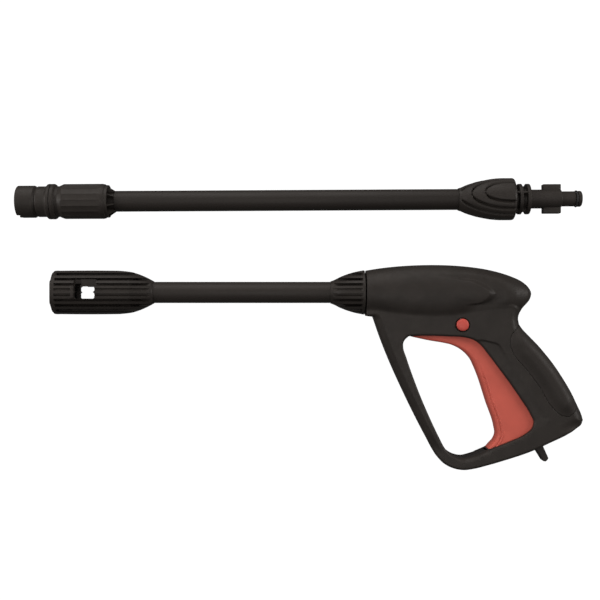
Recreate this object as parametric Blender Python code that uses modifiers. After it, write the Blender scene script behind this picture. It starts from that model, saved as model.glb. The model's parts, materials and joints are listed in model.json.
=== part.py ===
"""Trigger gun and spray lance of a pressure washer, lying side by side on a flat surface.

The gun is a two-part moulded body with a valve, a hinged trigger, a cross-bolt safety and a hose latch.
The lance plugs into the gun's fluted socket with a bayonet plug, and carries a turning nozzle head.
+X runs from the nozzle end to the grip end, +Y from the gun to the lance, and +Z up from the surface.
Sizes and places are in millimetres and are turned into metres where a mesh is made.
"""
import math

import bmesh
import bpy
from mathutils import Matrix, Vector

MM = 0.001
CLEARANCE = 0.3
SEGMENTS = 20
FINE_MERGE = 0.00001

# Places of the two frames on the surface: the gun's axis runs along X, and the lance's nearly does.
SHIFT_X = -0.30
GUN_Y = 27.03
GUN_Z = 19.32
LANCE_Y = 109.13
LANCE_TILT = math.radians(0.447)
LANCE_YAW = math.radians(0.262)
LANCE_Z = 17.515

# Body shells.
FRAME_DEPTH = 14.0
CAVITY_DEPTH = 9.6
WALL = 2.6
HALF_GAP = 0.15
BODY_FRONT = 58.3
EDGE_ROUND = 3.6

# Barrel and lance tubes.
TUBE_RADIUS = 9.4
TUBE_BORE = 7.2
LANCE_TUBE_RADIUS = 9.25
LANCE_TUBE_BORE = 7.0
GRIP_WEBS = 8
PIPE_RADIUS = 4.0
PIPE_BORE = 2.4

# Fluted socket.
SOCKET_RADIUS = 19.25
SOCKET_FRONT = -217.6
SOCKET_END = -129.5
SOCKET_BORE = 14.4
MOUTH_RADIUS = 9.0
LUG_SPAN = 25.8
LUG_WIDTH = 7.0
FIN_PITCH = 4.75
FIN_WIDTH = 1.7
WINDOW = (-192.0, -180.5, -5.4, 5.4)

# Trigger, safety, valve and hose inlet.
TRIGGER_PIVOT = (110.0, -32.0, 0.0)
TRIGGER_HALF = 9.0
CHANNEL_HALF = 7.0
SAFETY_CENTRE = (142.4, -28.5, 0.0)
BUTTON_RADIUS = 5.4
VALVE_X = 125.0
INLET_PORT_Y = 9.0
INLET_CENTRE = (229.0, -125.3, 0.0)
INLET_ANGLE = math.radians(27.0)
INLET_RADIUS = 10.2
INLET_BORE = 7.5

SCREW_PLACES = ((72.0, 14.2), (80.0, -24.5), (186.0, 3.0), (97.0, -86.0),
                (141.0, -150.6), (190.0, -141.2), (240.3, -112.7))
BOSS_RADIUS = 3.2

FRAME_OUTLINE = (
    (64.8, -21.7), (70.8, -39.1), (79.8, -61.8), (90.6, -85.7), (101.4, -108.1), (112.2, -128.9),
    (119.5, -142.2), (123.4, -147.8), (130.4, -152.7), (137.5, -155.2), (144.5, -155.9), (151.5, -155.0),
    (165.6, -151.5), (179.6, -147.4), (203.8, -139.2), (219.6, -131.9), (232.3, -125.9), (242.9, -119.7),
    (248.4, -116.4), (250.7, -112.7), (249.6, -108.4), (246.1, -100.4), (239.0, -86.3), (231.8, -74.3),
    (224.7, -63.7), (217.6, -54.6), (210.5, -46.3), (203.4, -39.0), (196.2, -31.4), (194.0, -26.8),
    (193.5, -22.3), (194.9, -17.9), (197.8, -13.4), (196.0, -3.0), (80.0, -3.0), (68.0, -10.0))

LOOP_OUTLINE = (
    (91.8, -41.9), (90.7, -44.1), (90.6, -48.5), (93.3, -57.3), (99.4, -74.8), (106.2, -92.4),
    (113.8, -110.0), (122.1, -127.5), (126.8, -136.3), (130.3, -140.5), (133.9, -143.1), (137.5, -144.9),
    (141.1, -145.7), (144.7, -145.8), (148.3, -145.0), (155.5, -142.8), (164.5, -138.8), (182.9, -131.5),
    (197.4, -124.7), (203.9, -118.8), (205.1, -114.0), (202.2, -107.0), (193.4, -93.0), (183.8, -79.0),
    (173.3, -65.0), (165.4, -54.5), (157.5, -45.3), (152.3, -41.8), (145.3, -39.7), (131.3, -38.7),
    (100.7, -38.3), (95.3, -38.6))

GRIP_CAVITY = (
    (97.3, -15.0), (97.3, -41.0), (130.0, -42.5), (150.0, -50.0), (160.0, -66.0), (170.0, -90.0),
    (178.0, -115.0), (172.0, -128.0), (164.6, -136.0), (164.6, -145.2), (181.0, -141.0), (197.0, -135.3),
    (207.0, -132.4), (231.0, -121.5), (239.5, -116.2), (242.0, -110.0), (240.6, -98.0), (233.4, -83.3),
    (226.3, -71.1), (219.4, -60.2), (212.6, -51.0), (199.0, -35.2), (191.0, -28.0), (189.3, -22.0),
    (190.0, -10.0))

STRUT_CAVITY = (
    (73.5, -33.0), (84.0, -35.0), (86.0, -46.0), (92.5, -66.0), (102.5, -92.5), (113.5, -118.5),
    (120.0, -132.5), (115.5, -128.0), (105.0, -108.0), (94.0, -85.0), (83.0, -60.0))

PAD_OUTLINE = (
    (194.3, -28.2), (196.4, -31.4), (203.4, -39.0), (210.5, -46.3), (217.6, -54.6), (224.7, -63.7),
    (231.8, -74.3), (239.0, -86.3), (244.6, -97.6), (240.8, -104.6), (235.7, -109.2), (227.9, -107.3),
    (220.1, -100.0), (209.8, -83.3), (198.4, -68.0), (187.8, -55.5), (184.0, -46.0), (184.6, -39.0),
    (188.6, -33.0))
PAD_DEPTH = 17.0
PAD_CORE_DEPTH = 12.4
PAD_CORE_OUTLINE = (
    (180.0, -20.0), (189.5, -27.5), (200.8, -41.2), (214.9, -56.7), (229.0, -76.2), (236.2, -88.0),
    (241.4, -98.6), (243.0, -108.0), (238.0, -118.0), (215.0, -112.0), (190.0, -80.0), (172.0, -50.0))

TRIGGER_OUTLINE = (
    (99.1, -39.3), (113.1, -42.3), (127.2, -44.7), (134.3, -46.4), (144.4, -51.5), (151.6, -58.9),
    (155.2, -66.3), (166.0, -97.7), (173.1, -119.4), (173.9, -125.9), (172.1, -130.4), (168.0, -134.9),
    (165.9, -137.5), (167.0, -141.0), (170.0, -142.0), (184.0, -135.5), (199.0, -128.3), (205.5, -122.5),
    (208.3, -116.0), (207.5, -110.0), (199.0, -96.5), (189.5, -82.5), (179.0, -68.5), (171.0, -58.0),
    (163.0, -48.0), (156.0, -41.5), (150.0, -37.6), (144.9, -35.9), (136.0, -35.1), (128.0, -33.4),
    (119.0, -32.5), (116.0, -31.0), (113.5, -28.5), (110.0, -27.3), (106.5, -28.5), (105.0, -31.5),
    (101.0, -36.5))

TRIGGER_CHANNEL = (
    (104.0, -24.0), (104.0, -37.3), (113.6, -39.3), (127.8, -41.7), (135.5, -43.5), (146.2, -49.0),
    (154.1, -57.0), (158.0, -65.0), (168.8, -96.7), (176.0, -118.7), (177.0, -126.0), (174.8, -132.0),
    (171.0, -137.0), (172.0, -146.0), (215.0, -130.0), (215.0, -105.0), (150.0, -24.0))

# Stations of the rounded upper body: (x, top, bottom, half depth).
BODY_SECTIONS = (
    (58.3, 19.4, -20.9, 19.2), (68.0, 21.0, -21.6, 19.3), (83.0, 22.8, -24.8, 19.3),
    (100.0, 24.0, -27.3, 19.3), (117.0, 24.4, -28.2, 19.3), (134.0, 24.0, -27.3, 19.3),
    (150.0, 22.7, -23.8, 19.3), (165.0, 20.5, -21.0, 18.8), (180.0, 16.8, -20.2, 17.5),
    (189.0, 13.6, -19.6, 15.4), (195.5, 10.6, -17.2, 12.8), (200.5, 7.0, -11.6, 9.6),
    (203.6, 3.4, -7.0, 6.2), (205.1, 0.4, -3.0, 2.6))


# ---------------------------------------------------------------- scene and materials

for old in list(bpy.data.objects):
    bpy.data.objects.remove(old, do_unlink=True)

parts = bpy.data.collections.new("pressure_washer_gun_and_lance")
cutters = bpy.data.collections.new("cutters")
for collection in (parts, cutters):
    bpy.context.scene.collection.children.link(collection)


def make_material(name, colour, roughness, metallic=0.0):
    """A plain Principled finish."""
    material = bpy.data.materials.new(name)
    material.use_nodes = True
    shader = material.node_tree.nodes["Principled BSDF"]
    shader.inputs["Base Color"].default_value = (*colour, 1.0)
    shader.inputs["Roughness"].default_value = roughness
    shader.inputs["Metallic"].default_value = metallic
    return material


BODY_BLACK = make_material("body_black", (0.030, 0.026, 0.024), 0.45)
TUBE_BLACK = make_material("tube_black", (0.036, 0.031, 0.029), 0.50)
GRIP_BLACK = make_material("grip_black", (0.034, 0.029, 0.027), 0.60)
TRIGGER_RED = make_material("trigger_red", (0.42, 0.090, 0.068), 0.45)
BRASS = make_material("brass", (0.62, 0.44, 0.20), 0.30, 1.0)
STEEL = make_material("steel", (0.55, 0.55, 0.56), 0.30, 1.0)
SEAL_RUBBER = make_material("seal_rubber", (0.020, 0.020, 0.020), 0.70)


# ---------------------------------------------------------------- frames

def make_frame(name, place, parent=None, turn=(0.0, 0.0, 0.0)):
    """An empty that places the pieces parented to it."""
    frame = bpy.data.objects.new(name, None)
    frame.location = Vector(place) * MM
    frame.rotation_euler = turn
    frame.parent = parent
    parts.objects.link(frame)
    return frame


gun = make_frame("gun_frame", (SHIFT_X, GUN_Y, GUN_Z))
lance = make_frame("lance_frame", (SHIFT_X, LANCE_Y, LANCE_Z), turn=(0.0, -LANCE_TILT, LANCE_YAW))
trigger_pivot = make_frame("trigger_pivot", TRIGGER_PIVOT, gun)
inlet = make_frame("inlet_frame", INLET_CENTRE, gun, (0.0, 0.0, INLET_ANGLE))


# ---------------------------------------------------------------- building helpers

def place_object(name, mesh, material, frame):
    """Links a mesh as a named piece, or as a hidden cutter when it has no material."""
    obj = bpy.data.objects.new(name, mesh)
    obj.parent = frame
    if material is None:
        obj.display_type = "WIRE"
        obj.hide_render = True
        cutters.objects.link(obj)
    else:
        mesh.materials.append(material)
        parts.objects.link(obj)
    return obj


def mesh_from(bm, name):
    """Turns a bmesh in millimetres into a mesh in metres."""
    bmesh.ops.scale(bm, vec=(MM, MM, MM), verts=bm.verts)
    mesh = bpy.data.meshes.new(name)
    bm.to_mesh(mesh)
    bm.free()
    return mesh


def axis_turn(axis):
    """The turn that lays a shape made along Z along the named axis."""
    turns = {"X": Matrix.Rotation(math.pi / 2, 4, "Y"), "Y": Matrix.Rotation(-math.pi / 2, 4, "X")}
    return turns.get(axis, Matrix.Identity(4))


def turned(name, outline, material, frame, axis="X", at=(0.0, 0.0, 0.0), segments=SEGMENTS):
    """A turned piece: (station, radius) pairs up the outside, then back down the inside of a hollow one."""
    bm = bmesh.new()
    corners = [bm.verts.new((radius, 0.0, station)) for station, radius in reversed(outline)]
    for first, second in zip(corners, corners[1:]):
        bm.edges.new((first, second))
    if outline[0][1] > 0.0:
        bm.edges.new((corners[-1], corners[0]))
    obj = place_object(name, mesh_from(bm, name), material, frame)
    obj.matrix_local = Matrix.Translation(Vector(at) * MM) @ axis_turn(axis)
    screw = obj.modifiers.new("turn", "SCREW")
    screw.steps = segments
    screw.render_steps = segments
    screw.use_merge_vertices = True
    screw.merge_threshold = FINE_MERGE
    return obj


def cylinder(name, radius, start, end, material, frame, axis="X", at=(0.0, 0.0, 0.0), segments=16):
    """A plain rod or drill from start to end along the axis."""
    bm = bmesh.new()
    bmesh.ops.create_cone(bm, cap_ends=True, segments=segments, radius1=radius, radius2=radius,
                          depth=end - start, matrix=Matrix.Translation((0.0, 0.0, (start + end) / 2)))
    bmesh.ops.transform(bm, matrix=Matrix.Translation(Vector(at)) @ axis_turn(axis), verts=bm.verts)
    return place_object(name, mesh_from(bm, name), material, frame)


def box(name, low, high, material, frame):
    """A box between two corners."""
    bm = bmesh.new()
    size = [b - a for a, b in zip(low, high)]
    middle = [(a + b) / 2 for a, b in zip(low, high)]
    bmesh.ops.create_cube(bm, size=1.0, matrix=Matrix.Translation(middle) @ Matrix.Diagonal((*size, 1.0)))
    return place_object(name, mesh_from(bm, name), material, frame)


def prism(name, outline, low, high, material, frame, origin=(0.0, 0.0)):
    """A flat outline in XY raised from low to high along Z."""
    bm = bmesh.new()
    corners = [bm.verts.new((x - origin[0], y - origin[1], low)) for x, y in outline]
    face = bm.faces.new(corners)
    raised = bmesh.ops.extrude_face_region(bm, geom=[face])
    top = [item for item in raised["geom"] if isinstance(item, bmesh.types.BMVert)]
    bmesh.ops.translate(bm, vec=(0.0, 0.0, high - low), verts=top)
    bmesh.ops.recalc_face_normals(bm, faces=bm.faces)
    return place_object(name, mesh_from(bm, name), material, frame)


def boolean(target, other, operation="DIFFERENCE"):
    """Cuts, joins or intersects one piece with a hidden helper."""
    step = target.modifiers.new(other.name, "BOOLEAN")
    step.operation = operation
    step.solver = "EXACT"
    step.object = other


def round_edges(obj, width, segments=2, angle=math.radians(50.0)):
    """Rounds the edges sharper than the given angle."""
    bevel = obj.modifiers.new("round", "BEVEL")
    bevel.width = width * MM
    bevel.segments = segments
    bevel.limit_method = "ANGLE"
    bevel.angle_limit = angle


def evaluated_copy(source, name, material, frame):
    """A new piece with the finished mesh of another, which is then removed."""
    bpy.context.view_layer.update()
    graph = bpy.context.evaluated_depsgraph_get()
    mesh = bpy.data.meshes.new_from_object(source.evaluated_get(graph))
    bm = bmesh.new()
    bm.from_mesh(mesh)
    bmesh.ops.remove_doubles(bm, verts=bm.verts, dist=FINE_MERGE)
    bm.to_mesh(mesh)
    bm.free()
    mesh.materials.clear()
    place = source.matrix_world.copy()
    bpy.data.objects.remove(source, do_unlink=True)
    obj = place_object(name, mesh, material, frame)
    bpy.context.view_layer.update()
    obj.matrix_world = place
    return obj


def wire(name, points, radius, material, frame, resolution=1):
    """A bent wire or pipe through the given points."""
    curve = bpy.data.curves.new(name, "CURVE")
    curve.dimensions = "3D"
    curve.bevel_depth = radius * MM
    curve.bevel_resolution = resolution
    curve.use_fill_caps = True
    spline = curve.splines.new("POLY")
    spline.points.add(len(points) - 1)
    for knot, place in zip(spline.points, points):
        knot.co = (*(Vector(place) * MM), 1.0)
    obj = bpy.data.objects.new(name, curve)
    obj.parent = frame
    if material is not None:
        curve.materials.append(material)
    parts.objects.link(obj)
    return obj


def coil_points(radius, start, end, turns, per_turn=7):
    """Points along a coil around Z."""
    count = int(turns * per_turn)
    places = []
    for step in range(count + 1):
        angle = 2 * math.pi * turns * step / count
        height = start + (end - start) * step / count
        places.append((radius * math.cos(angle), radius * math.sin(angle), height))
    return places


def seal_ring(name, radius, thickness, station, frame, axis="X", at=(0.0, 0.0, 0.0)):
    """A rubber ring of round section."""
    outline = []
    for step in range(6):
        angle = math.pi - step * math.pi / 3
        outline.append((station + thickness * math.cos(angle), radius + thickness * math.sin(angle)))
    return turned(name, outline, SEAL_RUBBER, frame, axis, at, segments=16)


# ---------------------------------------------------------------- gun body shells

def body_loft(name, shrink, front, back):
    """The rounded upper body as a loft of ellipses, drawn in by shrink on all sides."""
    bm = bmesh.new()
    rings = []
    count = 20
    sections = [entry for entry in BODY_SECTIONS if entry[3] > shrink + 2.0]
    for index, (x, top, bottom, depth) in enumerate(sections):
        if index == 0:
            x = front
        middle = (top + bottom) / 2
        height = (top - bottom) / 2 - shrink
        ring = []
        for step in range(count):
            angle = 2 * math.pi * step / count
            y = middle + height * math.cos(angle)
            z = (depth - shrink) * math.sin(angle)
            ring.append(bm.verts.new((min(x, back), y, z)))
        rings.append(ring)
    for near, far in zip(rings, rings[1:]):
        for step in range(count):
            after = (step + 1) % count
            bm.faces.new((near[step], near[after], far[after], far[step]))
    bm.faces.new(rings[0])
    bm.faces.new(rings[-1])
    bmesh.ops.recalc_face_normals(bm, faces=bm.faces)
    return place_object(name, mesh_from(bm, name), None, gun)


def make_body():
    """The two shells: one rounded body and loop frame, hollowed, drilled and split at the mid-plane."""
    whole = prism("body_whole", FRAME_OUTLINE, -FRAME_DEPTH, FRAME_DEPTH, None, gun)
    round_edges(whole, EDGE_ROUND)
    boolean(whole, body_loft("body_round", 0.0, BODY_FRONT, 400.0), "UNION")
    loop = prism("loop_hole", LOOP_OUTLINE, -40.0, 40.0, None, gun)
    boolean(whole, loop)
    relief = prism("pad_seat", PAD_OUTLINE, -30.0, 30.0, None, gun)
    grown = relief.modifiers.new("grow", "DISPLACE")
    grown.strength = CLEARANCE * MM
    grown.mid_level = 0.0
    core_depth = PAD_CORE_DEPTH - CLEARANCE
    core = prism("pad_core", PAD_CORE_OUTLINE, -core_depth, core_depth, None, gun)
    boolean(relief, core)
    boolean(whole, relief)

    hollow = body_loft("body_hollow", WALL, BODY_FRONT + WALL, 187.5)
    grip_hollow = prism("grip_hollow", GRIP_CAVITY, -CAVITY_DEPTH, CAVITY_DEPTH, None, gun)
    boolean(hollow, grip_hollow, "UNION")
    strut_hollow = prism("strut_hollow", STRUT_CAVITY, -CAVITY_DEPTH, CAVITY_DEPTH, None, gun)
    boolean(hollow, strut_hollow, "UNION")
    for number, (x, y) in enumerate(SCREW_PLACES, 1):
        post = cylinder(f"screw_post_{number}", BOSS_RADIUS, -30.0, 30.0, None, gun, "Z", (x, y, 0.0), 10)
        boolean(hollow, post)
    boolean(whole, hollow)

    drills = [
        cylinder("tube_hole", TUBE_RADIUS + CLEARANCE, 50.0, 66.0, None, gun, segments=SEGMENTS),
        cylinder("pin_hole", 2.3, -11.9, 11.9, None, gun, "Z", TRIGGER_PIVOT, 16),
        cylinder("button_hole", BUTTON_RADIUS + 0.4, -30.0, 30.0, None, gun, "Z", SAFETY_CENTRE),
        cylinder("inlet_hole", INLET_RADIUS + CLEARANCE, -10.0, 15.6, None, inlet, "Y"),
        box("latch_slot", (-25.2, -8.0, -7.3), (-13.4, 9.2, 7.3), None, inlet),
        box("latch_room", (-32.0, 3.0, -8.6), (-12.0, 9.2, 8.6), None, inlet),
    ]
    for drill in drills:
        boolean(whole, drill)
    blank = evaluated_copy(whole, "body_blank", None, gun)

    for name, low, high in (("left_body_shell", -60.0, HALF_GAP), ("right_body_shell", -HALF_GAP, 60.0)):
        shell = bpy.data.objects.new(name, blank.data.copy())
        shell.parent = gun
        shell.data.materials.append(BODY_BLACK)
        parts.objects.link(shell)
        boolean(shell, box(f"{name}_split", (0.0, -200.0, low), (300.0, 60.0, high), None, gun))
        for number, (x, y) in enumerate(SCREW_PLACES, 1):
            if name == "left_body_shell":
                bore = cylinder(f"pilot_{number}", 1.5, -1.0, 8.0, None, gun, "Z", (x, y, 0.0), 10)
            else:
                bore = turned(f"counterbore_{number}",
                              [(-30.0, 0.0), (-30.0, 3.1), (-8.0, 3.1), (-8.0, 1.6), (1.0, 1.6), (1.0, 0.0)],
                              None, gun, "Z", (x, y, 0.0), 10)
            boolean(shell, bore)
    bpy.data.objects.remove(blank, do_unlink=True)


def make_back_grip_pad():
    """The soft saddle behind the palm, wrapped over the back of both shells."""
    pad = prism("back_grip_pad", PAD_OUTLINE, -PAD_DEPTH, PAD_DEPTH, GRIP_BLACK, gun)
    round_edges(pad, 6.0, 3)
    boolean(pad, prism("pad_hollow", PAD_CORE_OUTLINE, -PAD_CORE_DEPTH, PAD_CORE_DEPTH, None, gun))


def make_body_screws():
    """Screws driven in from the back, through the right shell and into the left."""
    outline = [(-10.4, 0.0), (-10.4, 2.0), (-9.8, 2.7), (-8.3, 2.7), (-8.3, 1.25), (6.0, 1.25), (7.0, 0.4),
               (7.0, 0.0)]
    for number, (x, y) in enumerate(SCREW_PLACES, 1):
        turned(f"body_screw_{number}", outline, STEEL, gun, "Z", (x, y, 0.0), 10)


# ---------------------------------------------------------------- barrel, cone and lance socket

def groove_cutters(name, start, end, core):
    """Flat grooves between parallel fins, all drawn straight up and down from the mid-plane."""
    bm = bmesh.new()
    for band in range(8):
        low = -4 * FIN_PITCH + band * FIN_PITCH + FIN_WIDTH / 2
        middle = ((start + end) / 2, low + (FIN_PITCH - FIN_WIDTH) / 2, 0.0)
        size = (end - start, FIN_PITCH - FIN_WIDTH, 60.0)
        place = Matrix.Translation(middle) @ Matrix.Diagonal((*size, 1.0))
        bmesh.ops.create_cube(bm, size=1.0, matrix=place)
    slabs = place_object(name, mesh_from(bm, name), None, gun)
    boolean(slabs, turned(f"{name}_core", core, None, gun))
    boolean(slabs, box(f"{name}_web", (start - 2.0, -30.0, -5.0), (end + 2.0, 30.0, 5.0), None, gun))
    return slabs


def make_lance_socket():
    """The fluted sleeve that takes the lance, with its bayonet mouth and the window where the lug shows."""
    outline = [(SOCKET_FRONT, 18.3), (SOCKET_FRONT + 1.0, SOCKET_RADIUS), (-160.0, SOCKET_RADIUS),
               (-152.0, 18.2), (-144.7, 16.2), (-137.0, 13.0), (SOCKET_END, 10.0),
               (SOCKET_END, TUBE_RADIUS + CLEARANCE), (-150.0, TUBE_RADIUS + CLEARANCE),
               (-150.0, SOCKET_BORE), (-208.0, SOCKET_BORE), (-208.0, MOUTH_RADIUS),
               (SOCKET_FRONT, MOUTH_RADIUS)]
    socket = turned("lance_socket", outline, BODY_BLACK, gun)
    core = [(-240.0, 0.0), (-240.0, 16.3), (-152.0, 16.3), (-137.0, 11.6), (-120.0, 10.8), (-120.0, 0.0)]
    boolean(socket, groove_cutters("socket_grooves", SOCKET_FRONT + 3.6, -132.0, core))
    reach, half_width = LUG_SPAN / 2 + 0.5, LUG_WIDTH / 2 + 0.5
    boolean(socket, box("lug_way", (-225.0, -reach, -half_width), (-205.0, reach, half_width), None, gun))
    x0, x1, y0, y1 = WINDOW
    boolean(socket, box("socket_window", (x0, y0, -40.0), (x1, y1, 40.0), None, gun))


def make_socket_insert():
    """The moulded seat at the socket's far end, which takes the tip of the lance and its O-ring."""
    outline = [(-179.0, 13.4), (-178.4, 14.1), (-156.0, 14.1), (-156.0, PIPE_RADIUS + CLEARANCE),
               (-168.0, PIPE_RADIUS + CLEARANCE), (-168.0, 7.4), (-174.6, 7.4), (-174.6, 8.9),
               (-177.0, 8.9), (-177.0, 7.7), (-179.0, 7.7)]
    turned("socket_insert", outline, BODY_BLACK, gun)
    seal_ring("socket_seal", 7.85, 0.75, -175.8, gun)


def make_barrel():
    """The outer barrel tube and the water pipe inside it."""
    tube = [(-149.6, TUBE_RADIUS), (78.0, TUBE_RADIUS), (78.0, TUBE_BORE), (-149.6, TUBE_BORE)]
    turned("barrel_tube", tube, TUBE_BLACK, gun)
    pipe = [(-167.0, PIPE_RADIUS), (108.0, PIPE_RADIUS), (108.0, PIPE_BORE), (-167.0, PIPE_BORE)]
    turned("barrel_water_pipe", pipe, STEEL, gun, segments=16)


def make_rear_cone():
    """The fluted cone that runs the barrel tube out to the body."""
    outline = [(26.7, 10.2), (36.0, 13.6), (45.0, 16.4), (54.0, 18.7), (57.4, 19.3),
               (57.4, TUBE_RADIUS + CLEARANCE), (26.7, TUBE_RADIUS + CLEARANCE)]
    cone = turned("rear_cone", outline, BODY_BLACK, gun)
    core = [(15.0, 0.0), (15.0, 10.6), (31.0, 10.9), (45.0, 14.0), (70.0, 16.2), (70.0, 0.0)]
    boolean(cone, groove_cutters("cone_grooves", 29.0, 55.0, core))


# ---------------------------------------------------------------- valve and water way

def make_valve():
    """The brass valve block above the trigger, its seat, ball, rod, spring and end cap."""
    at = (VALVE_X, 0.0, 0.0)
    body = cylinder("valve_body", 9.0, -14.0, 17.0, BRASS, gun, "Y", at, SEGMENTS)
    boolean(body, cylinder("valve_front", 7.4, 99.0, VALVE_X, None, gun), "UNION")
    inlet_port = (0.0, INLET_PORT_Y, 0.0)
    boolean(body, cylinder("valve_rear", 6.6, VALVE_X, 141.0, None, gun, "X", inlet_port), "UNION")
    chamber = [(-20.0, 0.0), (-20.0, 1.8), (-6.0, 1.8), (-6.0, 3.3), (3.0, 3.3), (3.0, 5.5), (20.0, 5.5),
               (20.0, 0.0)]
    boolean(body, turned("valve_chamber", chamber, None, gun, "Y", at, 16))
    outlet = [(95.0, 0.0), (95.0, PIPE_RADIUS + CLEARANCE), (108.4, PIPE_RADIUS + CLEARANCE), (108.4, 2.3),
              (VALVE_X, 2.3), (VALVE_X, 0.0)]
    boolean(body, turned("valve_outlet", outlet, None, gun, segments=16))
    port = [(VALVE_X, 0.0), (VALVE_X, 2.4), (133.0, 2.4), (133.0, 4.8), (145.0, 4.8), (145.0, 0.0)]
    boolean(body, turned("valve_port", port, None, gun, "X", inlet_port, 16))
    turned("valve_seat", [(3.3, 5.1), (5.3, 5.1), (5.3, 2.5), (3.3, 2.5)], SEAL_RUBBER, gun, "Y", at, 16)
    cap = [(15.6, 0.0), (15.6, 5.1), (17.3, 5.1), (17.3, 6.9), (18.6, 6.9), (19.1, 6.4), (19.1, 0.0)]
    turned("valve_end_cap", cap, BRASS, gun, "Y", at, 16)
    ball = []
    for step in range(7):
        angle = math.pi - step * math.pi / 6
        ball.append((8.1 + 3.4 * math.cos(angle), 3.4 * math.sin(angle) if 0 < step < 6 else 0.0))
    turned("valve_ball", ball, STEEL, gun, "Y", at, 12)
    rod = [(-31.6, 0.0), (-31.6, 2.6), (-30.0, 3.0), (-30.0, 1.4), (4.3, 1.4), (4.3, 0.0)]
    turned("push_rod", rod, STEEL, gun, "Y", at, 16)
    spring = [(x + VALVE_X, z, -y) for x, y, z in coil_points(2.8, 11.9, 15.1, 2.5)]
    wire("valve_spring", spring, 0.35, STEEL, gun)


def pipe_route():
    """The water pipe's way from the hose inlet up the grip and round to the valve's rear port."""
    turn = Matrix.Rotation(INLET_ANGLE, 4, "Z")
    up_grip = [Vector(INLET_CENTRE) + turn @ Vector((0.0, depth, 0.0)) for depth in (16.6, 60.0, 98.0)]
    bend = [Vector(place) for place in ((170.0, -11.5, 0.0), (164.0, -3.6, 0.0), (157.0, 3.2, 0.0),
                                        (149.5, 7.6, 0.0), (143.0, 9.0, 0.0), (134.0, 9.0, 0.0))]
    return up_grip + bend


def make_inlet_pipe():
    """The hollow pipe between the hose inlet and the valve."""
    outside = wire("pipe_outside", pipe_route(), 4.4, None, gun, 2)
    pipe = evaluated_copy(outside, "inlet_pipe", TUBE_BLACK, gun)
    route = pipe_route()
    route[0] = route[0] + (route[0] - route[1]).normalized() * 5.0
    route[-1] = route[-1] + Vector((-5.0, 0.0, 0.0))
    boolean(pipe, evaluated_copy(wire("pipe_inside", route, 2.5, None, gun, 2), "pipe_bore", None, gun))


def make_hose_inlet():
    """The socket for the hose's plug in the foot of the grip, its seal, and the fork latch that holds it."""
    outline = [(-0.6, 9.4), (0.0, INLET_RADIUS), (15.2, INLET_RADIUS), (15.2, 6.6), (20.0, 6.0),
               (20.0, 4.7), (16.2, 4.7), (16.2, 2.6), (13.4, 2.6), (13.4, 6.4), (11.6, 6.4),
               (11.6, INLET_BORE),
               (-0.6, INLET_BORE)]
    socket = turned("hose_inlet_socket", outline, BRASS, inlet, "Y")
    boolean(socket, box("fork_way", (-14.0, 3.8, -9.4), (8.8, 7.0, 9.4), None, inlet))
    turned("hose_inlet_seal", [(11.9, 6.1), (13.1, 6.1), (13.1, 3.4), (11.9, 3.4)], SEAL_RUBBER, inlet, "Y",
           segments=16)
    latch = box("hose_latch", (-24.4, 4.3, -8.0), (0.0, 6.5, 8.0), BODY_BLACK, inlet)
    gap = box("fork_gap", (-9.0, 0.0, -6.0), (10.0, 10.0, 6.0), None, inlet)
    tab_outline = ((-24.4, 6.5), (-24.4, -0.5), (-23.2, -15.0), (-21.4, -16.4), (-18.0, -15.0), (-17.0, 4.9),
                   (-17.0, 6.5))
    tab = prism("latch_tab", tab_outline, -6.0, 6.0, None, inlet)
    round_edges(tab, 0.8)
    boolean(latch, tab, "UNION")
    boolean(latch, gap)
    spring = [(z - 31.6, y + 5.4, x) for x, y, z in coil_points(1.7, 0.4, 6.2, 3.0)]
    wire("latch_spring", spring, 0.3, STEEL, inlet)


# ---------------------------------------------------------------- trigger and safety

def make_trigger():
    """The red trigger: a channel open to the rear, hinged at its front, with a boss under the push rod."""
    trigger = prism("trigger", TRIGGER_OUTLINE, -TRIGGER_HALF, TRIGGER_HALF, TRIGGER_RED, trigger_pivot,
                    TRIGGER_PIVOT[:2])
    channel = prism("trigger_channel", TRIGGER_CHANNEL, -CHANNEL_HALF, CHANNEL_HALF, None, trigger_pivot,
                    TRIGGER_PIVOT[:2])
    boolean(trigger, channel)
    boss_half = CHANNEL_HALF + 0.5
    boss = box("rod_boss", (VALVE_X - 2.0, -43.0, -boss_half), (VALVE_X + 2.0, -32.3, boss_half), None, gun)
    boolean(trigger, boss, "UNION")
    boolean(trigger, cylinder("trigger_bore", 2.3, -20.0, 20.0, None, trigger_pivot, "Z", segments=16))
    cylinder("trigger_pin", 2.0, -11.6, 11.6, STEEL, gun, "Z", TRIGGER_PIVOT, 16)


def make_trigger_spring():
    """The torsion spring round the pin that pushes the trigger back out."""
    coil = coil_points(3.2, -1.8, 1.8, 3.25)
    low, high = coil[0][2], coil[-1][2]
    leg_to_trigger = [(9.0, -4.8, low), (3.4, -3.0, low)]
    leg_to_shell = [(-3.4, 3.2, high)]
    wire("trigger_spring", leg_to_trigger + coil + leg_to_shell, 0.4, STEEL, trigger_pivot)


def make_safety_button():
    """The cross-bolt safety: its thin parts let the trigger's walls rise, its thick middle blocks one."""
    outline = [(-12.1, 0.0), (-12.1, BUTTON_RADIUS), (-10.1, BUTTON_RADIUS), (-10.1, 1.5), (-6.2, 1.5),
               (-6.2, BUTTON_RADIUS), (6.2, BUTTON_RADIUS), (6.2, 1.5), (10.6, 1.5), (10.6, BUTTON_RADIUS),
               (15.2, BUTTON_RADIUS), (16.2, 3.6), (16.2, 0.0)]
    turned("safety_button", outline, TRIGGER_RED, gun, "Z", SAFETY_CENTRE, 16)


# ---------------------------------------------------------------- lance

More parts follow.
